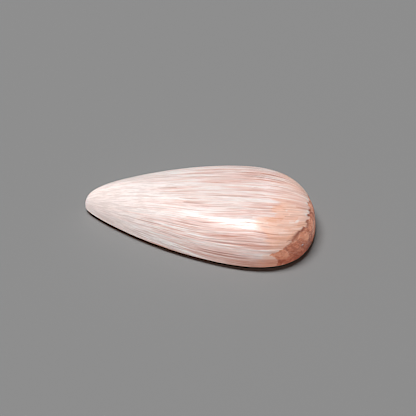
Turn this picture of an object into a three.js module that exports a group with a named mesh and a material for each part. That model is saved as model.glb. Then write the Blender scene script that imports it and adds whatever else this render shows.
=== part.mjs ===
// A teardrop cabochon cut from scolecite: one solid stone with a flat back, a chamfered back
// edge and a high polished dome.
// Millimetres, +Z up. The origin is on the flat back, in the middle of the length and the width.
// +X runs from the narrow tip to the blunt end.
import * as THREE from "three";

// Driving dimensions of the stone
const LENGTH = 42;
const WIDTH = 20.95;
const HEIGHT = 9.2;
const GIRDLE_HEIGHT = 0.85; // from the back up to the widest line round the stone
const BACK_INSET = 1.05; // from the widest line in to the back, at the ends and at the sides
const CROWN_FORWARD = 6.2; // from the middle of the length to the top of the dome

// The plan outline is an ellipse whose width is multiplied by one plus three waves of the
// cosine round the outline. They narrow the tip, fill the shoulders and round the nose.
const TAPER = 0.597;
const SHOULDERS = 0.052;
const NOSE = 0.044;

// The dome's side view is a superellipse between the widest line and the crown.
const SPREAD_POWER = 2.94; // higher keeps the sides full
const RISE_POWER = 2.31; // higher flattens the top

// The chamfer is one too, between the back and the widest line: 1 is flat, 2 a round edge.
const CHAMFER_POWER = 1.25;

// Facets
const ROUND_STEPS = 96;
const EDGE_STEPS = 5;
const DOME_STEPS = 28;
const PROFILE_SAMPLES = 400;

const POLISHED_STONE = { color: 0xf0d5ca, roughness: 0.22, metalness: 0 };

// The outline's half width, before it is scaled, at (cosine, sine) on the unit circle.
function fullness(cosine, sine) {
  const second = 2 * cosine ** 2 - 1;
  const third = 4 * cosine ** 3 - 3 * cosine;
  return sine * (1 + TAPER * cosine + SHOULDERS * second + NOSE * third);
}

// The largest half width that fullness gives, so that WIDTH is the stone's true width.
function fullestHalfWidth() {
  let fullest = 0;
  for (let i = 0; i <= PROFILE_SAMPLES; i++) {
    const angle = (Math.PI * i) / PROFILE_SAMPLES;
    fullest = Math.max(fullest, fullness(Math.cos(angle), Math.sin(angle)));
  }
  return fullest;
}

// The chamfer, from the back up to the widest line.
function chamfer(angle) {
  const outward = Math.sin(angle) ** (2 / CHAMFER_POWER);
  const below = Math.max(Math.cos(angle), 0) ** (2 / CHAMFER_POWER);
  return new THREE.Vector2(WIDTH / 2 - BACK_INSET * (1 - outward), GIRDLE_HEIGHT * (1 - below));
}

// The dome, a quarter of a superellipse from the widest line up to the crown.
function dome(angle) {
  const reach = Math.max(Math.cos(angle), 0) ** (2 / SPREAD_POWER);
  const rise = Math.sin(angle) ** (2 / RISE_POWER);
  const height = GIRDLE_HEIGHT + (HEIGHT - GIRDLE_HEIGHT) * rise;
  return new THREE.Vector2((reach * WIDTH) / 2, height);
}

// Points evenly spaced along a quarter-turn curve, from its start to its end.
function evenPoints(curve, steps) {
  const samples = [];
  for (let i = 0; i <= PROFILE_SAMPLES; i++) {
    samples.push(curve((Math.PI / 2) * (i / PROFILE_SAMPLES)));
  }
  return new THREE.SplineCurve(samples).getSpacedPoints(steps);
}

// Half of the stone's cross-section, from the middle of the back, round the edge, to the crown.
function crossSection() {
  const edge = evenPoints(chamfer, EDGE_STEPS);
  const cap = evenPoints(dome, DOME_STEPS);
  const back = new THREE.Vector2(0, 0);
  const crown = new THREE.Vector2(0, HEIGHT);
  return [back, ...edge, ...cap.slice(1, -1), crown];
}

// Moves one point of the round dome out to the teardrop. Above the widest line each level is
// the outline drawn in towards the crown, and below it the outline drawn in by the inset.
function toTeardrop(x, y, z, fullest) {
  const radius = Math.hypot(x, y);
  const cosine = radius > 0 ? x / radius : 0;
  const sine = radius > 0 ? y / radius : 0;
  const rimX = (LENGTH / 2) * cosine;
  const rimY = ((WIDTH / 2) * fullness(cosine, sine)) / fullest;
  if (z < GIRDLE_HEIGHT) {
    const inset = WIDTH / 2 - radius;
    return [rimX * (1 - inset / (LENGTH / 2)), rimY * (1 - inset / (WIDTH / 2))];
  }
  const reach = radius / (WIDTH / 2);
  return [CROWN_FORWARD + (rimX - CROWN_FORWARD) * reach, rimY * reach];
}

// Turns the cross-section into a round dome, then stretches it out to the teardrop.
function cabochonGeometry() {
  const geometry = new THREE.LatheGeometry(crossSection(), ROUND_STEPS);
  geometry.rotateX(Math.PI / 2);
  const position = geometry.getAttribute("position");
  const fullest = fullestHalfWidth();
  for (let i = 0; i < position.count; i++) {
    const [x, y] = toTeardrop(position.getX(i), position.getY(i), position.getZ(i), fullest);
    position.setX(i, x);
    position.setY(i, y);
  }
  geometry.computeVertexNormals();
  return geometry;
}

const stone = new THREE.Group();
const cabochon = new THREE.Mesh(
  cabochonGeometry(),
  new THREE.MeshStandardMaterial(POLISHED_STONE),
);
cabochon.name = "cabochon";
stone.add(cabochon);

export default stone;
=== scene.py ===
"""A teardrop cabochon of scolecite, polished, lying on a plain pale floor.

The stone is one closed surface. Its grid lines run from the narrow tip to the blunt end, as its
needles do, so the shallow grooves between needles and the small facets where they are cut end-on
are real relief. The colour is painted by nodes that read the same directions from the mesh.
"""
import math

import bpy
import numpy as np
from mathutils import Matrix, Vector


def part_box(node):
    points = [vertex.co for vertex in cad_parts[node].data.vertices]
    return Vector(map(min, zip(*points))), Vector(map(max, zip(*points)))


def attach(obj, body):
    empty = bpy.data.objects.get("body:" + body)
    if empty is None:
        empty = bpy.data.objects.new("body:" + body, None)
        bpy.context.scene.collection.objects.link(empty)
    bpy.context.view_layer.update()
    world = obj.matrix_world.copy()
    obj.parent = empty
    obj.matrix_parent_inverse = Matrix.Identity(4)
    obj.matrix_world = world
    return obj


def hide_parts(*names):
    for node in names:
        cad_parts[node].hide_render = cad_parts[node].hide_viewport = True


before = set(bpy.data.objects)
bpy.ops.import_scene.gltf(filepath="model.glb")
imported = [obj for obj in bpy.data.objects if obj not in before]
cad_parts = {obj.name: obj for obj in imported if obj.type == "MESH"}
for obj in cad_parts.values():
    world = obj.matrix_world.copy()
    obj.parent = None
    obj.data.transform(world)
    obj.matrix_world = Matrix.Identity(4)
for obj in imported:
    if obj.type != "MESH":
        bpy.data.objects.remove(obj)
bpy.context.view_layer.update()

MM = 0.001

# The stone, from its CAD node
STONE_LOW, STONE_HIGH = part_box("cabochon")
LENGTH = STONE_HIGH.x - STONE_LOW.x
WIDTH = STONE_HIGH.y - STONE_LOW.y
HEIGHT = STONE_HIGH.z - STONE_LOW.z
GIRDLE_HEIGHT = 0.85 * MM  # from the back up to the widest line round the stone
BACK_INSET = 1.05 * MM  # from the widest line in to the back
CROWN_FORWARD = 6.2 * MM  # from the middle of the length to the top of the dome
TAPER, SHOULDERS, NOSE = 0.597, 0.052, 0.044  # narrow tip, full shoulders, round nose
SPREAD_POWER, RISE_POWER, CHAMFER_POWER = 2.94, 2.31, 1.25  # full sides, flat top, soft edges

# How finely the surface is divided
STATIONS = 168  # slices across the stone, from the tip to the blunt end
COLUMNS = 520  # points over the dome in each slice
BLUNT_DENSITY = 2.2  # how much closer the slices are at the blunt end than at the tip
EDGE_RINGS = 6  # down the chamfer
BACK_RINGS = 9  # over the flat back
FINE_SAMPLES = 3000  # points on a curve before it is resampled
LABEL_COUNT = 9999  # different whole numbers that a random number can be turned into

# The needles lie in planes through one line, which enters at the tip.
AXIS_POINT = np.array([0.0, 2.75, 0.76]) * MM
AXIS_ALONG = np.array([1.0, 0.114, -0.048])
AXIS_REACH = 9.0 * MM  # from that line to most of the dome
END_ON = np.array([0.85, -0.2, -0.48])  # the way that the needles end

# Blades of needles, from the widest to the thinnest: their length and width in mm, how far they
# slant, the contrast of their whiteness on top and on steep parts, and their relief in mm
BLADE_LAYERS = (
    (17, 2.1, 0.020, 0.25, 0.05, 0.006),
    (12, 1.0, -0.030, 0.38, 0.26, 0.008),
    (9, 0.52, 0.035, 0.45, 0.42, 0.010),
    (9, 0.33, -0.015, 0.5, 0.36, 0.010),
    (7, 0.21, 0.010, 0.55, 0.36, 0.007),
)
BUNDLE_WIDTH = 0.9  # in mm: wider blades stand out more on the blunt half

# Dark slots between needles: their length and width in mm, how common and how dark they are
SLOT_KINDS = (
    (10, 0.34, 0.4, 1.0),
    (6, 0.24, 0.4, 1.0),
    (2, 0.2, 0.7, 0.5),
)

# A small pit in the end grain, painted dark as shade in its hollow, and a painted highlight: a
# bluish-white glint painted just above its middle
PIT_PLACE = np.array([19.1, -6.2, 2.9]) * MM
PIT_RADIUS = 0.55 * MM
PIT_DEPTH = 0.15 * MM
PAINTED_GLINT_OFFSET = np.array([0.0, 0.05, 0.2]) * MM
PAINTED_GLINT_RADIUS = 0.25 * MM

# Colours of the needles' sides, by whiteness from 0 to 1, and of their cut ends, by tone
PINK_SIDES = (
    (0.0, (0.68, 0.37, 0.30)),
    (0.2, (0.78, 0.51, 0.45)),
    (0.4, (0.84, 0.62, 0.57)),
    (0.6, (0.87, 0.715, 0.675)),
    (0.8, (0.90, 0.80, 0.77)),
    (1.0, (0.93, 0.87, 0.85)),
)
PEACH_SIDES = (
    (0.0, (0.70, 0.33, 0.22)),
    (0.3, (0.85, 0.48, 0.35)),
    (0.6, (0.90, 0.56, 0.435)),
    (0.85, (0.92, 0.64, 0.545)),
    (1.0, (0.93, 0.78, 0.73)),
)
BROWN_ENDS = (
    (0.1, (0.46, 0.14, 0.08)),
    (0.5, (0.68, 0.26, 0.155)),
    (0.8, (0.84, 0.39, 0.25)),
    (0.97, (0.92, 0.54, 0.39)),
)
SLOT_SHADE = (0.62, 0.44, 0.40, 1.0)
SPECKLE_GREY = (0.42, 0.35, 0.33, 1.0)
CHIP_WHITE = (0.86, 0.78, 0.74, 1.0)
SEAM_BUFF = (0.75, 0.50, 0.40, 1.0)
# painted shade: darkens the near rim of the blunt half low down
RIM_SHADE = (0.72, 0.52, 0.44, 1.0)
CRACK_BROWN = (0.30, 0.10, 0.07, 1.0)
# painted shade: the dark of the pit's hollow
PAINTED_PIT_SHADE = (0.25, 0.10, 0.08, 1.0)
# painted highlight: the bluish-white glint by the pit
PAINTED_GLINT_WHITE = (0.80, 0.86, 0.92, 1.0)
# partly the stone's own brown, partly painted shade that darkens the gap under the rim
CHAMFER_SHADE_BROWN = (0.42, 0.23, 0.17, 1.0)

# The photograph's camera
CAMERA_TURN = math.radians(8.16)
CAMERA_RISE = math.radians(45.0)
CAMERA_DISTANCE = 4 * LENGTH
CAMERA_TARGET = Vector((1.13, 3.52, 0.0)) * MM
SENSOR_WIDTH = 36.0
LENS = 79.08

# The room
FLOOR_HALF = 3.0  # metres from the middle of the floor to its edges
FLOOR_GREY = (0.245, 0.245, 0.245, 1.0)
WALL_GREY = (0.286, 0.286, 0.286, 1.0)
DIM_STRENGTH = 0.03
SHARPENING = 0.05

# Lamps, all aimed at the same place in the stone: the way to each, its distance, size and power
LAMP_AIM = Vector((3.0 * MM, 0.0, 5.0 * MM))
KEY_LAMP = ((-0.27, 0.155, 0.945), 4.8, (2.88, 0.8), 271.0)
GLOW_RISE, GLOW_DISTANCE, GLOW_SIZE = 0.01, 0.7, (0.7, 0.025)
LOW_GLOWS = (("left", -80, 1.05), ("front", -30, 2.7), ("right", 80, 3.0))  # degrees, power
WHITE_LIGHT, COOL_LIGHT = (1.0, 1.0, 1.0), (0.8, 0.9, 1.0)
POLISH_LAMPS = (
    ("overhead strip", (-0.01, -0.37, 0.91), 0.5, (0.13, 0.12), 0.62, WHITE_LIGHT),
    ("thin overhead strip", (-0.13, -0.38, 0.91), 0.5, (0.3, 0.13), 0.75, WHITE_LIGHT),
    ("front sheen", (-0.02, -0.66, 0.75), 0.5, (0.34, 0.26), 0.38, WHITE_LIGHT),
    ("rear window", (0.15, 0.76, 0.63), 0.5, (0.06, 0.012), 0.045, COOL_LIGHT),
)


def unit(vector):
    """The same direction, one long."""
    return vector / np.linalg.norm(vector)


def smooth_step(value, low, high):
    """Goes smoothly from 0 to 1 as value goes from low to high."""
    share = np.clip((value - low) / (high - low), 0.0, 1.0)
    return share * share * (3 - 2 * share)


def faded(distance, reach):
    """One where the distance is nothing, falling smoothly to zero at the reach."""
    return 1 - smooth_step(distance, 0.0, reach)


def fullness(cosine, sine):
    """Half a width before it is scaled: the sine times one plus three waves of the cosine."""
    second = 2 * cosine**2 - 1
    third = 4 * cosine**3 - 3 * cosine
    return sine * (1 + TAPER * cosine + SHOULDERS * second + NOSE * third)


def outline(cosine, sine):
    """The stone's widest line in plan: an ellipse whose width is multiplied by the fullness."""
    every_angle = np.linspace(0.0, np.pi, FINE_SAMPLES)
    fullest = fullness(np.cos(every_angle), np.sin(every_angle)).max()
    return LENGTH / 2 * cosine, WIDTH / 2 * fullness(cosine, sine) / fullest


def travelled_along(points):
    """How far along a polyline each of its points is."""
    steps = np.linalg.norm(np.diff(points, axis=0), axis=1)
    return np.concatenate([[0.0], np.cumsum(steps)])


def even_points(points, count):
    """Resamples a polyline to points that are the same distance apart along it."""
    travelled = travelled_along(points)
    stops = np.linspace(0.0, travelled[-1], count)
    return np.stack([np.interp(stops, travelled, column) for column in points.T], axis=1)


def station_angles():
    """Angles on half the outline, from the tip to the blunt end.

    They are evenly spaced along it, and closer together from x of 4 mm up to 14 mm and beyond."""
    angles = np.linspace(np.pi, 0.0, FINE_SAMPLES)
    points = np.stack(outline(np.cos(angles), np.sin(angles)), axis=1)
    density = 1 + (BLUNT_DENSITY - 1) * smooth_step(points[:, 0], 4 * MM, 14 * MM)
    steps = np.diff(travelled_along(points)) * (density[1:] + density[:-1]) / 2
    amount = np.concatenate([[0.0], np.cumsum(steps)])
    stops = np.linspace(0.0, amount[-1], STATIONS + 2)
    return np.interp(stops, amount, angles)[1:-1]


def dome_arcs(angles):
    """The dome's slices: for each outline angle, points from the near edge over to the far edge.

    At one x, the outline drawn in by a share passes through y, and the dome's height at that share
    is the root of one minus the share's power. The share goes from 1 at the edge to its least on
    the middle line and back, in a cosine wave, and the points are then spaced evenly."""
    x = (LENGTH / 2 * np.cos(angles))[:, None]
    side = np.linspace(-np.pi, np.pi, FINE_SAMPLES)[None, :]
    forward = x - CROWN_FORWARD
    least_ahead = forward / (LENGTH / 2 - CROWN_FORWARD)
    least_behind = -forward / (LENGTH / 2 + CROWN_FORWARD)
    least = np.where(forward > 0, least_ahead, least_behind)
    share = least + (1 - least) * (1 - np.cos(side)) / 2
    cosine = np.clip((CROWN_FORWARD + forward / share) / (LENGTH / 2), -1.0, 1.0)
    sine = np.sqrt(1 - cosine**2)
    y = np.sign(side) * outline(cosine, sine)[1] * share
    z = GIRDLE_HEIGHT + (HEIGHT - GIRDLE_HEIGHT) * (1 - share**SPREAD_POWER) ** (1 / RISE_POWER)
    arcs = np.stack([np.broadcast_to(x, y.shape), y, z], axis=2)
    return np.stack([even_points(arc, COLUMNS + 1) for arc in arcs])


def chamfer_profile():
    """How far in and how high each ring of the chamfer is, from the widest line down to the back.

    Both are quarter waves raised to a power, so that it is nearly flat with rounded ends."""
    turn = np.linspace(np.pi / 2, 0.0, FINE_SAMPLES)
    inset = BACK_INSET * (1 - np.sin(turn) ** (2 / CHAMFER_POWER))
    height = GIRDLE_HEIGHT * (1 - np.clip(np.cos(turn), 0.0, 1.0) ** (2 / CHAMFER_POWER))
    return even_points(np.stack([inset, height], axis=1), EDGE_RINGS + 1)[1:]


def lower_rings(loop):
    """The rings under the dome: the widest line drawn in by the chamfer, then the flat back."""
    rings = []
    for inset, height in chamfer_profile():
        drawn_in = loop * [1 - inset / (LENGTH / 2), 1 - inset / (WIDTH / 2), 0.0]
        rings.append(drawn_in + [0.0, 0.0, height])
    edge = rings[-1]
    for step in range(1, BACK_RINGS):
        rings.append(edge * (1 - step / BACK_RINGS))
    return np.stack(rings)


def stone_mesh(name):
    """The whole surface: dome slices between two poles, rings below, and the back's middle."""
    arcs = dome_arcs(station_angles())
    tip = [[-LENGTH / 2, 0.0, GIRDLE_HEIGHT]]
    blunt = [[LENGTH / 2, 0.0, GIRDLE_HEIGHT]]
    middle = [[0.0, 0.0, 0.0]]
    loop = np.concatenate([tip, arcs[:, 0], blunt, arcs[::-1, -1]])
    rings = lower_rings(loop)
    points = np.concatenate([arcs.reshape(-1, 3), tip, blunt, rings.reshape(-1, 3), middle])

    grid = np.arange(STATIONS * (COLUMNS + 1)).reshape(STATIONS, COLUMNS + 1)
    tip_point, blunt_point = grid.size, grid.size + 1
    first_ring = grid.size + 2
    middle_point = len(points) - 1
    corners = [grid[:-1, :-1], grid[1:, :-1], grid[1:, 1:], grid[:-1, 1:]]
    quads = np.stack(corners, axis=2).reshape(-1, 4)
    tip_fan = np.stack([np.full(COLUMNS, tip_point), grid[0, :-1], grid[0, 1:]], axis=1)
    blunt_fan = np.stack([grid[-1, :-1], np.full(COLUMNS, blunt_point), grid[-1, 1:]], axis=1)

    widest = np.concatenate([[tip_point], grid[:, 0], [blunt_point], grid[::-1, -1]])
    count = len(widest)
    below = first_ring + np.arange(len(rings) * count).reshape(-1, count)
    loops = np.concatenate([widest[None, :], below])
    after = np.roll(loops, -1, axis=1)
    bands = np.stack([loops[:-1], loops[1:], after[1:], after[:-1]], axis=2).reshape(-1, 4)
    back_fan = np.stack([loops[-1], np.full(count, middle_point), after[-1]], axis=1)

    faces = [part.tolist() for part in (quads, tip_fan, blunt_fan, bands, back_fan)]
    mesh = bpy.data.meshes.new(name)
    mesh.from_pydata(points.tolist(), [], sum(faces, []))
    mesh.shade_smooth()
    mesh.validate()
    return mesh


def read_vectors(mesh, what):
    """The mesh's vertex positions or normals, one row each."""
    values = np.empty(len(mesh.vertices) * 3, np.float32)
    mesh.vertices.foreach_get(what, values)
    return values.reshape(-1, 3).astype(float)


def store(mesh, name, values):
    """Keeps a number or a vector for each vertex, for the material to read."""
    kind, field = ("FLOAT", "value") if values.ndim == 1 else ("FLOAT_VECTOR", "vector")
    attribute = mesh.attributes.new(name, kind, "POINT")
    attribute.data.foreach_set(field, values.astype(np.float32).ravel())


def scrambled(*whole_numbers):
    """A number from 0 to 1 for each set of whole numbers, the same on every run.

    Each whole number is added to the mix, which is multiplied by a large odd number and has its
    high bits folded into its low ones."""
    large_odd = np.uint64(0x9E3779B97F4A7C15)
    mixed = np.zeros(np.broadcast(*whole_numbers).shape, np.uint64)
    for part in whole_numbers:
        mixed = (mixed + np.asarray(part).astype(np.int64).astype(np.uint64)) * large_odd
        mixed ^= mixed >> np.uint64(29)
    return (mixed >> np.uint64(40)).astype(float) / 2**24


def as_label(number):
    """A random number from 0 to 1 as a whole number, to draw further random numbers with."""
    return np.round(number * LABEL_COUNT)


def soft_noise(u, v, seed):
    """Smooth hills from 0 to 1, about one unit across: random heights at whole numbers, eased."""
    left, low = np.floor(u), np.floor(v)
    right_share = smooth_step(u - left, 0.0, 1.0)
    high_share = smooth_step(v - low, 0.0, 1.0)
    heights = [[scrambled(left + i, low + j, seed) for j in (0, 1)] for i in (0, 1)]
    left_side = heights[0][0] * (1 - high_share) + heights[0][1] * high_share
    right_side = heights[1][0] * (1 - high_share) + heights[1][1] * high_share
    return left_side * (1 - right_share) + right_side * right_share


def cells(u, v, length, width, seed):
    """Splits a plane into irregular cells of about the length along u and the width along v.

    Each square of the stretched plane holds one random point, and a place belongs to the nearest.
    Gives the cell's own random number, the offset from its point, and the true distance to the
    cell's border: how much nearer its point is than the next one, over how fast that changes."""
    too_far = 9.0
    square_u, square_v = np.floor(u / length), np.floor(v / width)
    number = np.zeros(u.shape)
    nearest, near_u, near_v = np.full(u.shape, too_far), np.zeros(u.shape), np.zeros(u.shape)
    second, next_u, next_v = np.full(u.shape, too_far), np.zeros(u.shape), np.zeros(u.shape)
    for step_u in (-1, 0, 1):
        for step_v in (-1, 0, 1):
            cell_u, cell_v = square_u + step_u, square_v + step_v
            away_u = u / length - cell_u - scrambled(cell_u, cell_v, seed)
            away_v = v / width - cell_v - scrambled(cell_u, cell_v, seed + 1)
            distance = np.hypot(away_u, away_v)
            closer = distance < nearest
            runner_up = ~closer & (distance < second)
            second = np.where(closer, nearest, np.where(runner_up, distance, second))
            next_u = np.where(closer, near_u, np.where(runner_up, away_u, next_u))
            next_v = np.where(closer, near_v, np.where(runner_up, away_v, next_v))
            nearest = np.where(closer, distance, nearest)
            near_u = np.where(closer, away_u, near_u)
            near_v = np.where(closer, away_v, near_v)
            number = np.where(closer, scrambled(cell_u, cell_v, seed + 2), number)
    slope_u = (next_u / second - near_u / nearest) / length
    slope_v = (next_v / second - near_v / nearest) / width
    border = (second - nearest) / np.hypot(slope_u, slope_v)
    return number, near_u * length, near_v * width, border


def blades(along, around, length, width, seed):
    """Long pointed blades laid in rows along the needles.

    Each row is one width wide and slides along by its own random amount. A blade's half width
    falls from its widest at the middle to nothing at both ends, as one minus a cube, and each one
    slants a little. Gives the blade's own random number, and how far inside its edge each point
    is, which is below zero outside it."""
    row = np.floor(around / width)
    place = along / length + scrambled(row, seed)
    number = np.floor(place)
    from_middle = place - number - 0.5
    label = scrambled(row, number, seed + 1)
    slant = (scrambled(row, number, seed + 2) - 0.5) * 0.4
    across = around / width - row - 0.5 - slant * from_middle
    widest = 0.24 + 0.2 * scrambled(row, number, seed + 3)
    half = widest * (1 - np.abs(2 * from_middle) ** 3)
    return label, (half - np.abs(across)) * width


def blocks(along, around, length, width, seed):
    """Bricks laid in rows along the needles, each with its own random number.

    Each row is one width wide and slides along by its own random amount."""
    row = np.floor(around / width)
    return scrambled(row, np.floor(along / length + scrambled(row, seed)), seed + 1)


def grain_places(points, on_back):
    """How far along the needles each point is, and how far round the axis that they share.

    Also gives the same place as a point on a drum round that axis, for the material."""
    forward = unit(AXIS_ALONG)
    sideways = unit(np.cross([0.0, 0.0, 1.0], forward))
    upward = np.cross(forward, sideways)
    offset = points - AXIS_POINT
    along = offset @ forward
    turn = np.arctan2(offset @ sideways, offset @ upward)
    around = np.where(on_back, offset @ sideways, turn * AXIS_REACH)
    drum = np.stack([along, AXIS_REACH * np.sin(turn), AXIS_REACH * np.cos(turn)], axis=1)
    drum[on_back] = np.stack([along, offset @ sideways, offset @ upward], axis=1)[on_back]
    return along, around, drum


def past_the_sides(points, normals, along, around):
    """How far past the limit between the needles' sides and their cut ends each point is.

    That is how much the surface faces the way that the needles end, less a limit. The limit is
    higher low down, and lower on the far side and round 3.6 mm up. It also differs from bundle to
    bundle, and from needle to needle most where it is high up, so the border is ragged."""
    facing = normals * [1.0, 1.0, 0.0] + np.maximum(normals, 0.0) * [0.0, 0.0, 1.0]
    facing = facing @ unit(END_ON)
    bundle = cells(along, around, 3.5 * MM, 1.5 * MM, seed=11)[0]
    needle = cells(along, around, 1.6 * MM, 0.45 * MM, seed=21)[0]
    height = points[:, 2]
    low_down = 0.12 * (1 - smooth_step(height, 1.5 * MM, 3.2 * MM))
    part_way_up = 0.09 * faded(np.abs(height - 3.6 * MM), 1.0 * MM)
    limit = 0.41 - 0.04 * smooth_step(points[:, 1], -4 * MM, 0.0)
    limit += low_down - part_way_up
    ragged = 0.03 + 0.06 * smooth_step(height, 2.5 * MM, 4.5 * MM)
    return facing - limit - 0.11 * (bundle - 0.5) - ragged * (needle - 0.5)


def dark_slots(along, around, steepness):
    """Thin dark slots between the needles, from 0 to 1.

    They are blades too, of three sizes. Some are chosen, more of them where the needles are
    crowded, and the square of a random number makes most of those faint."""
    crowded = soft_noise(along / (6 * MM), around / (1.5 * MM), seed=101)
    slots = np.zeros(along.shape)
    for order, (length, width, share, darkness) in enumerate(SLOT_KINDS):
        seed = 1111 + 10 * order
        label, inside = blades(along, around, length * MM, width * MM, seed)
        likely = share * (0.3 + 1.4 * crowded) * (1 + 0.1 * steepness)
        own_darkness = 0.25 + 0.75 * scrambled(as_label(label), 5) ** 2
        chosen = (label < likely) * own_darkness
        slots = np.maximum(slots, darkness * chosen * smooth_step(inside, 0.0, 0.06 * MM))
    return slots


def side_pattern(along, around, steepness):
    """The needles seen from the side.

    Blades of five widths lie over each other along the needles, each width at a slightly
    different slant. Each blade has its own whiteness and height. Their contrast differs between
    the top and the steep parts. It is bolder over the blunt half up to its last few millimetres,
    above all in the widest blades. Gives the whiteness, the dark slots, and how deep the surface
    lies."""
    around = around + (soft_noise(along / (8 * MM), around / (3 * MM), seed=31) - 0.5) * 0.5 * MM
    bolder = 1 + 0.5 * smooth_step(along, 4 * MM, 11 * MM)
    bolder -= 0.5 * smooth_step(along, 12 * MM, 16 * MM)
    bundled = smooth_step(along, 1 * MM, 7 * MM) * (1 - smooth_step(along, 12 * MM, 15 * MM))
    tone = np.zeros(along.shape)
    depth = np.zeros(along.shape)
    for order, layer in enumerate(BLADE_LAYERS):
        length, width, slant, contrast, steep_contrast, height = layer
        slanted = around + slant * along
        seed = 1041 + 10 * order
        label, inside = blades(along, slanted, length * MM, width * MM, seed)
        covered = smooth_step(inside, -0.02 * MM, 0.05 * MM)
        strength = contrast + (steep_contrast - contrast) * steepness
        if width > BUNDLE_WIDTH:
            strength = strength * (1 + (0.25 + 0.75 * steepness) * bundled)
        tone += bolder * strength * (label - 0.5) * covered
        depth += height * MM * (1 + 0.5 * order * steepness) * (1 - label * covered)
    slots = dark_slots(along, around, steepness)
    depth += 0.014 * MM * slots * (1 - 0.4 * steepness)
    return tone, slots, depth


def end_pattern(points):
    """The needles cut end-on: a mosaic in the plane square to the way that they end.

    Each patch is a flat facet with its own height and tilt, set a little deep, with finer patches
    inside it and a seam around it. Two sizes of soft noise bend the borders, and the mosaic is
    paler higher up. Gives its tone, its seams, and how deep the surface lies."""
    sideways = unit(np.cross([0.0, 0.0, 1.0], END_ON))
    upward = np.cross(unit(END_ON), sideways)
    u, v = points @ sideways, points @ upward
    bend = (soft_noise(u / (2 * MM), v / (2 * MM), seed=111) - 0.5) * 0.8 * MM
    wobble = (soft_noise(u / (0.5 * MM), v / (0.5 * MM), seed=113) - 0.5) * 0.3 * MM
    bent = u + bend + wobble
    patch, off_u, off_v, seam = cells(bent, v + wobble, 1.6 * MM, 1.3 * MM, seed=121)
    grain, _, _, fine_seam = cells(u - wobble, v + bend, 0.55 * MM, 0.4 * MM, seed=131)
    label = as_label(patch)
    tilt = (scrambled(label, 1) - 0.5) * off_u + (scrambled(label, 2) - 0.5) * off_v
    depth = 0.05 * MM + 0.05 * MM * patch + 0.16 * tilt + 0.02 * MM * grain
    depth += 0.03 * MM * faded(seam, 0.12 * MM)
    paler = 0.25 * smooth_step(points[:, 2], 3.9 * MM, 5.6 * MM)
    mosaic = 0.6 * patch + 0.4 * grain - 0.1 + paler
    seams = np.maximum(faded(seam, 0.12 * MM), 0.5 * faded(fine_seam, 0.08 * MM))
    return mosaic, seams, depth


def peach_fringe(points, around, bent, patch):
    """How far the needles have turned to peach, which they do before their cut ends, 0 to 1.

    It begins at an x that differs from patch to patch and from one row of needles to the next. It
    is faint on the far side, less so at the far rim, and a little fainter at the near rim."""
    x, y, z = points.T
    start = 11.3 * MM + 1.6 * MM * smooth_step(y, -6.2 * MM, -4 * MM)
    start += 1.6 * MM * smooth_step(-y, 7.5 * MM, 8.6 * MM) - 1.3 * MM * (patch - 1)
    start += 2 * MM * (scrambled(np.floor(around / (0.6 * MM)), 157) - 0.5)
    fringe = smooth_step(x - start, -0.6 * MM, 0.9 * MM)
    far_rim = smooth_step(y, 1 * MM, 3.5 * MM) * (1 - smooth_step(z, 7.1 * MM, 8.3 * MM))
    fringe = fringe * (1 - 0.75 * smooth_step(y, -3 * MM, 0.0) + 0.45 * far_rim)
    fringe = fringe * (1 - 0.4 * smooth_step(-y, 8 * MM, 9.3 * MM))
    brick = blocks(bent, around, 3 * MM, 0.8 * MM, seed=149)
    return fringe * (0.82 + 0.18 * smooth_step(brick, 0.1, 0.7))


def broken_border(points, along, around, beyond):
    """What the polish broke at the upper border of the end grain, each from 0 to 1.

    A crack follows the border, with gaps, and white chips lie just before it: the cells whose
    random number is high enough. Also gives how near the border is."""
    upper = smooth_step(points[:, 2], 3.5 * MM, 6 * MM)
    unbroken = smooth_step(soft_noise(along / MM, around / MM, seed=161), 0.2, 0.5)
    crack = upper * faded(np.abs(beyond - 0.03), 0.09) * unbroken
    near_end = smooth_step(beyond, -0.24, -0.05)
    many = 0.45 * near_end * smooth_step(points[:, 1], -3.5 * MM, -2 * MM)
    chip, _, _, chip_border = cells(along, around, 0.9 * MM, 0.45 * MM, seed=151)
    chips = (chip > 1 - many * upper) * smooth_step(chip_border, 0.0, 0.12 * MM)
    return crack, chips, near_end


def low_shades(points):
    """The chamfer, partly the stone's own brown and partly painted shade for the gap under it, and
    painted shade low on the near rim of the blunt half, 0 to 1.
    """
    x, y, z = points.T
    chamfer = smooth_step(z, 0.0, 0.1 * MM) * (1 - smooth_step(z, 0.5 * MM, GIRDLE_HEIGHT))
    low_down = 1 - smooth_step(z, 1.5 * MM, 3.5 * MM)
    # painted shade: darker low down on the near rim of the blunt half
    painted_rim_shade = smooth_step(x, 0.0, 14 * MM) * low_down * smooth_step(-y, -5 * MM, 3 * MM)
    return chamfer, painted_rim_shade


def pit_and_painted_glint(points):
    """A small pit in the end grain, painted dark as shade in its hollow, and a painted highlight by
    its middle: spots that fade outwards.
    """
    away = points - PIT_PLACE
    pit = faded(np.linalg.norm(away, axis=1), PIT_RADIUS)
    painted_glint = faded(np.linalg.norm(away - PAINTED_GLINT_OFFSET, axis=1), PAINTED_GLINT_RADIUS)
    return pit, painted_glint


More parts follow.
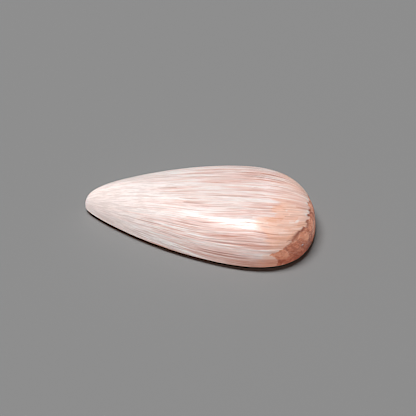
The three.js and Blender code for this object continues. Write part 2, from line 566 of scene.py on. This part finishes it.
def surface_detail(points, normals, along, around, on_back):
    """How deep the surface lies below the smooth dome, and what the material has to know.

    The needles' grooves and the end grain's facets each hold on their own side of the border.
    The grooves all but vanish towards the tip and are rougher on the far side of the blunt half,
    and all relief fades out round the widest line."""
    beyond = past_the_sides(points, normals, along, around)
    end_share = smooth_step(beyond, -0.008, 0.008)
    steepness = 1 - smooth_step(normals[:, 2], 0.35, 0.85)
    tone, slots, grooves = side_pattern(along, around, steepness)
    mosaic, seams, facets = end_pattern(points)

    bend = (soft_noise(along / (1.5 * MM), around / (0.6 * MM), seed=135) - 0.5) * 0.9 * MM
    bent = along + bend
    patch = cells(bent, around, 5 * MM, 1.2 * MM, seed=141)[0]
    patch = patch + blocks(bent, around, 2.6 * MM, 0.7 * MM, seed=145)
    fringe = peach_fringe(points, around, bent, patch)
    patchy = (0.1 + 0.4 * fringe) * (1 - 0.7 * steepness) * (patch - 1)
    tone = tone * (1 - 0.5 * fringe) + patchy
    sliver = blocks(bent, around, 1.7 * MM, 0.45 * MM, seed=147)
    tone += 0.25 * fringe * (sliver > 0.88)

    x, y, z = points.T
    rough = smooth_step(y, 1.5 * MM, 4.5 * MM) * smooth_step(x, 3 * MM, 8 * MM)
    slots = slots * (1 - 0.35 * fringe) * (1 + 0.8 * rough)
    crack, chips, near_end = broken_border(points, along, around, beyond)
    grooves = grooves * (1 + 0.3 * rough) + 0.015 * MM * near_end * patch
    grooves = grooves * (0.03 + 0.97 * smooth_step(x, -17 * MM, -4 * MM))
    chamfer, painted_rim_shade = low_shades(points)
    pit, painted_glint = pit_and_painted_glint(points)

    on_dome = smooth_step(z, 0.4 * MM, 1.4 * MM)
    depth = (grooves * (1 - end_share) + facets * end_share) * on_dome
    depth += PIT_DEPTH * pit
    depth[on_back] = 0.0
    marks = {
        "end_grain": end_share,
        "tone": tone,
        "slots": slots,
        "fringe": fringe,
        "chips": chips,
        "crack": crack,
        "steepness": steepness,
        "mosaic": mosaic,
        "seams": seams,
        "chamfer": chamfer,
        "painted_rim_shade": painted_rim_shade,
        "pit": pit,
        "painted_glint": painted_glint,
    }
    return np.maximum(depth, 0.0), marks


def add_node(tree, kind, sockets=None, **settings):
    """Adds a node, sets its properties, and links or fills its sockets by name or place."""
    node = tree.nodes.new(kind)
    for name, value in settings.items():
        setattr(node, name, value)
    for key, value in (sockets or {}).items():
        if isinstance(value, bpy.types.NodeSocket):
            tree.links.new(value, node.inputs[key])
        else:
            node.inputs[key].default_value = value
    return node


def calc(tree, operation, *values, clamp=False):
    """One Math node's result."""
    sockets = dict(enumerate(values))
    node = add_node(tree, "ShaderNodeMath", sockets, operation=operation, use_clamp=clamp)
    return node.outputs[0]


def times(tree, first, second, clamp=False):
    """The first number times the second."""
    return calc(tree, "MULTIPLY", first, second, clamp=clamp)


def ease(tree, value, low, high, out_low=0.0, out_high=1.0):
    """Goes smoothly from out_low to out_high as value goes from low to high."""
    sockets = {
        "Value": value,
        "From Min": low,
        "From Max": high,
        "To Min": out_low,
        "To Max": out_high,
    }
    return add_node(tree, "ShaderNodeMapRange", sockets, interpolation_type="SMOOTHSTEP").outputs[0]


def mix_colours(tree, share, first, second, blend_type="MIX"):
    """The first colour, changed by the second by its share.

    A Mix node has sockets for numbers and vectors too: its colours are numbers 6 and 7."""
    sockets = {0: share, 6: first, 7: second}
    mix = add_node(tree, "ShaderNodeMix", sockets, data_type="RGBA", blend_type=blend_type)
    return mix.outputs[2]


def colour_ramp(tree, value, stops):
    """A colour for each value, blended between the stops."""
    node = add_node(tree, "ShaderNodeValToRGB", {0: value})
    ramp = node.color_ramp
    while len(ramp.elements) < len(stops):
        ramp.elements.new(0.5)
    for element, (place, colour) in zip(ramp.elements, stops):
        element.position = place
        element.color = (*colour, 1.0)
    return node.outputs[0]


def read_number(tree, name):
    """A number stored at each vertex."""
    return add_node(tree, "ShaderNodeAttribute", attribute_name=name).outputs["Fac"]


def streaks(tree, grain, width, length, detail):
    """Soft streaks of that width and length along the needles, about 0.5 on average."""
    scale = (1 / length, 1 / width, 1 / width)
    stretched = add_node(tree, "ShaderNodeVectorMath", {0: grain, 1: scale}, operation="MULTIPLY")
    sockets = {"Vector": stretched.outputs[0], "Scale": 1.0, "Detail": detail, "Roughness": 0.6}
    return add_node(tree, "ShaderNodeTexNoise", sockets).outputs[0]


def add_share(tree, start, value, amount):
    """The start plus the value's distance from one half, times the amount."""
    return calc(tree, "MULTIPLY_ADD", calc(tree, "SUBTRACT", value, 0.5), amount, start)


def streak_contrast(tree, along, steepness):
    """How clearly the streaks show: hardly at the tip, and on its half more on steep parts. The
    streaks are the stone's own, but their extra contrast on steep parts is painted shade of the
    grooves under grazing light.
    """
    contrast = ease(tree, along, -16 * MM, 2 * MM, 0.08, 1.0)
    contrast = times(tree, contrast, ease(tree, along, 0.0, 5 * MM, 1.0, 0.86))
    # painted shade: steep parts get extra streak contrast, as grazing light would shade their
    # grooves
    steep_shade_contrast = ease(tree, along, -7 * MM, 5 * MM, 3.3, 1.35)
    steep_shade_contrast = times(tree, steep_shade_contrast, ease(tree, along, 6 * MM, 14 * MM, 1.0, 0.66))
    return times(tree, contrast, ease(tree, steepness, 0.0, 1.0, 1.0, steep_shade_contrast))


def side_whiteness(tree, grain, along, steepness, contrast, speckle):
    """How white the needles' sides are, from 0 to 1.

    They are palest before the middle of the length and darkest at the blunt end, and darker on
    steep parts of the blunt half. The stored tone, wide bands and fine fibres vary that by the
    contrast, and the speckle varies it everywhere."""
    paler_middle = ease(tree, along, -16 * MM, -9 * MM, 0.70, 0.75)
    darker_end = ease(tree, along, -7 * MM, 10 * MM, 0.0, -0.27)
    whiteness = calc(tree, "ADD", paler_middle, darker_end)
    steep_share = times(tree, steepness, steepness)
    darker_flank = ease(tree, along, -5 * MM, 2 * MM, 0.0, -0.12)
    whiteness = calc(tree, "MULTIPLY_ADD", steep_share, darker_flank, whiteness)
    bands = streaks(tree, grain, 2.2 * MM, 16 * MM, detail=1.0)
    fibres = streaks(tree, grain, 0.13 * MM, 6 * MM, detail=2.0)
    variation = read_number(tree, "tone")
    variation = add_share(tree, variation, bands, ease(tree, steepness, 0.0, 1.0, 0.38, 0.12))
    variation = add_share(tree, variation, fibres, 0.5)
    whiteness = calc(tree, "MULTIPLY_ADD", variation, contrast, whiteness)
    return add_share(tree, whiteness, speckle, ease(tree, along, -14 * MM, 3 * MM, 0.3, 0.2))


def side_colour(tree, grain, along):
    """The needles seen from the side: white to salmon, or peach near their cut ends.

    Grey speckle cuts the streaks short, most at the tip. White chips and dark slots lie on top."""
    steepness = read_number(tree, "steepness")
    contrast = streak_contrast(tree, along, steepness)
    speckle = streaks(tree, grain, 0.4 * MM, 2 * MM, detail=3.0)
    whiteness = side_whiteness(tree, grain, along, steepness, contrast, speckle)
    pink = colour_ramp(tree, whiteness, PINK_SIDES)
    peach = colour_ramp(tree, whiteness, PEACH_SIDES)
    colour = mix_colours(tree, read_number(tree, "fringe"), pink, peach)

    cut_short = ease(tree, along, -15 * MM, 3 * MM, 0.27, 0.06)
    cut_short = times(tree, ease(tree, speckle, 0.4, 0.6, 1.0, 0.0), cut_short)
    colour = mix_colours(tree, cut_short, colour, SPECKLE_GREY)
    chips = times(tree, read_number(tree, "chips"), 0.75)
    colour = mix_colours(tree, chips, colour, CHIP_WHITE)
    slots = times(tree, read_number(tree, "slots"), contrast, clamp=True)
    slots = times(tree, slots, ease(tree, steepness, 0.0, 1.0, 1.0, 0.7))
    return mix_colours(tree, slots, colour, SLOT_SHADE, "MULTIPLY")


def end_colour(tree, grain):
    """The needles cut end-on: a mosaic of orange-brown patches with lighter seams."""
    fine = streaks(tree, grain, 0.2 * MM, 0.4 * MM, detail=2.0)
    mosaic = add_share(tree, read_number(tree, "mosaic"), fine, 0.9)
    colour = colour_ramp(tree, mosaic, BROWN_ENDS)
    seams = times(tree, read_number(tree, "seams"), 0.22)
    return mix_colours(tree, seams, colour, SEAM_BUFF)


def stone_material():
    """Silky needles from white to salmon, polished, and brown where they are cut end-on."""
    material = bpy.data.materials.new("polished scolecite")
    material.use_nodes = True
    tree = material.node_tree
    tree.nodes.clear()
    place = add_node(tree, "ShaderNodeTexCoord").outputs["Object"]
    along = add_node(tree, "ShaderNodeSeparateXYZ", {0: place}).outputs[0]
    grain = add_node(tree, "ShaderNodeAttribute", attribute_name="grain").outputs["Vector"]
    sides, ends = side_colour(tree, grain, along), end_colour(tree, grain)
    colour = mix_colours(tree, read_number(tree, "end_grain"), sides, ends)
    # Painted shade low down on the near rim of the blunt half
    colour = mix_colours(tree, read_number(tree, "painted_rim_shade"), colour, RIM_SHADE, "MULTIPLY")
    colour = mix_colours(tree, read_number(tree, "crack"), colour, CRACK_BROWN)
    # The pit painted dark brown, as painted shade in its hollow
    pit = times(tree, read_number(tree, "pit"), 0.7)
    colour = mix_colours(tree, pit, colour, PAINTED_PIT_SHADE)
    # A painted highlight: the bluish-white glint by the pit
    colour = mix_colours(tree, read_number(tree, "painted_glint"), colour, PAINTED_GLINT_WHITE)
    # The chamfer in brown, partly painted shade that darkens the gap under the rim
    colour = mix_colours(tree, read_number(tree, "chamfer"), colour, CHAMFER_SHADE_BROWN)
    shader = add_node(
        tree,
        "ShaderNodeBsdfPrincipled",
        {
            "Base Color": colour,
            "Roughness": 0.25,
            "IOR": 1.52,
            "Subsurface Weight": 0.15,
            "Subsurface Radius": (1.0, 0.55, 0.4),
            "Subsurface Scale": 0.3 * MM,
            "Coat Weight": 0.3,
            "Coat Roughness": 0.1,
        },
    )
    add_node(tree, "ShaderNodeOutputMaterial", {"Surface": shader.outputs[0]})
    return material


def make_stone():
    """The whole stone, in place of its CAD node: the smooth surface pushed in by its relief."""
    mesh = stone_mesh("polished_cabochon")
    points, normals = read_vectors(mesh, "co"), read_vectors(mesh, "normal")
    on_back = points[:, 2] < 0.01 * MM
    along, around, drum = grain_places(points, on_back)
    depth, marks = surface_detail(points, normals, along, around, on_back)
    store(mesh, "grain", drum)
    for name, values in marks.items():
        store(mesh, name, values)
    pushed_in = points - normals * depth[:, None]
    mesh.vertices.foreach_set("co", pushed_in.astype(np.float32).ravel())
    mesh.update()
    mesh.materials.append(stone_material())
    stone = bpy.data.objects.new("polished_cabochon", mesh)
    bpy.context.collection.objects.link(stone)
    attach(stone, "root")
    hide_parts("cabochon")
    return stone


def make_camera():
    """The photograph's camera: turned a little about the stone, and looking well down on it."""
    back = Vector(
        (
            math.sin(CAMERA_TURN) * math.cos(CAMERA_RISE),
            -math.cos(CAMERA_TURN) * math.cos(CAMERA_RISE),
            math.sin(CAMERA_RISE),
        )
    )
    camera = bpy.data.objects.new("camera", bpy.data.cameras.new("camera"))
    camera.data.sensor_width = SENSOR_WIDTH
    camera.data.lens = LENS
    camera.data.clip_start = 5 * MM
    camera.location = CAMERA_TARGET + back * CAMERA_DISTANCE
    camera.rotation_euler = back.to_track_quat("Z", "Y").to_euler()
    bpy.context.collection.objects.link(camera)
    bpy.context.scene.camera = camera


def make_floor():
    """A plain pale grey floor, wide enough that its edge is never seen."""
    half = FLOOR_HALF
    mesh = bpy.data.meshes.new("floor")
    corners = [(-half, -half, 0.0), (half, -half, 0.0), (half, half, 0.0), (-half, half, 0.0)]
    mesh.from_pydata(corners, [], [(0, 1, 2, 3)])
    floor = bpy.data.objects.new("floor", mesh)
    material = bpy.data.materials.new("floor grey")
    material.use_nodes = True
    shader = material.node_tree.nodes["Principled BSDF"]
    shader.inputs["Base Color"].default_value = FLOOR_GREY
    shader.inputs["Roughness"].default_value = 0.9
    shader.inputs["Specular IOR Level"].default_value = 0.1
    mesh.materials.append(material)
    bpy.context.collection.objects.link(floor)


def area_light(name, direction, distance, size, power, colour=WHITE_LIGHT):
    """A rectangular softbox that faces the stone from the direction given, long side along X."""
    data = bpy.data.lights.new(name, "AREA")
    data.shape = "RECTANGLE"
    data.size, data.size_y = size
    data.energy = power
    data.color = colour
    light = bpy.data.objects.new(name, data)
    away = Vector(direction).normalized()
    light.location = LAMP_AIM + away * distance
    side = Vector((1.0, 0.0, 0.0))
    side = (side - away * side.dot(away)).normalized()
    turn = Matrix((side, away.cross(side), away)).transposed()
    light.rotation_euler = turn.to_euler()
    bpy.context.collection.objects.link(light)
    return light


def make_room():
    """Dim light from all round, and a plain pale grey wall that only the camera sees."""
    world = bpy.data.worlds.new("room")
    world.use_nodes = True
    tree = world.node_tree
    dim = tree.nodes["Background"]
    dim.inputs["Color"].default_value = (1.0, 1.0, 1.0, 1.0)
    dim.inputs["Strength"].default_value = DIM_STRENGTH
    wall = add_node(tree, "ShaderNodeBackground", {"Color": WALL_GREY, "Strength": 1.0})
    seen = add_node(tree, "ShaderNodeLightPath").outputs["Is Camera Ray"]
    both = add_node(tree, "ShaderNodeMixShader", {0: seen, 1: dim.outputs[0], 2: wall.outputs[0]})
    tree.links.new(both.outputs[0], tree.nodes["World Output"].inputs["Surface"])
    bpy.context.scene.world = world


def light_stone(stone):
    """A big far lamp high on the left, three low glows, and lamps that only the polish shows.

    The big lamp and the glows don't show in the polish. The glows stand to the left, in front and
    to the right, and light the stone alone. The polish shows two strips overhead, a soft sheen
    from the front and a small cool window behind."""
    soft = area_light("long soft lamp", *KEY_LAMP)
    soft.visible_glossy = False
    stone_alone = bpy.data.collections.new("lit by the low glows")
    stone_alone.objects.link(stone)
    for side, turn, power in LOW_GLOWS:
        turn = math.radians(turn)
        direction = (math.sin(turn), -math.cos(turn), GLOW_RISE)
        glow = area_light("low %s glow" % side, direction, GLOW_DISTANCE, GLOW_SIZE, power)
        glow.visible_glossy = False
        glow.light_linking.receiver_collection = stone_alone
    for lamp in POLISH_LAMPS:
        area_light(*lamp).visible_diffuse = False


def sharpen():
    """Sharpens the picture a little, as the photograph was."""
    scene = bpy.context.scene
    scene.use_nodes = True
    tree = scene.node_tree
    tree.nodes.clear()
    layers = tree.nodes.new("CompositorNodeRLayers")
    crisp = tree.nodes.new("CompositorNodeFilter")
    crisp.filter_type = "SHARPEN"
    crisp.inputs["Fac"].default_value = SHARPENING
    out = tree.nodes.new("CompositorNodeComposite")
    tree.links.new(layers.outputs["Image"], crisp.inputs["Image"])
    tree.links.new(crisp.outputs["Image"], out.inputs["Image"])


make_camera()
make_floor()
polished_stone = make_stone()
make_room()
light_stone(polished_stone)
bpy.context.scene.view_settings.view_transform = "Standard"
sharpen()
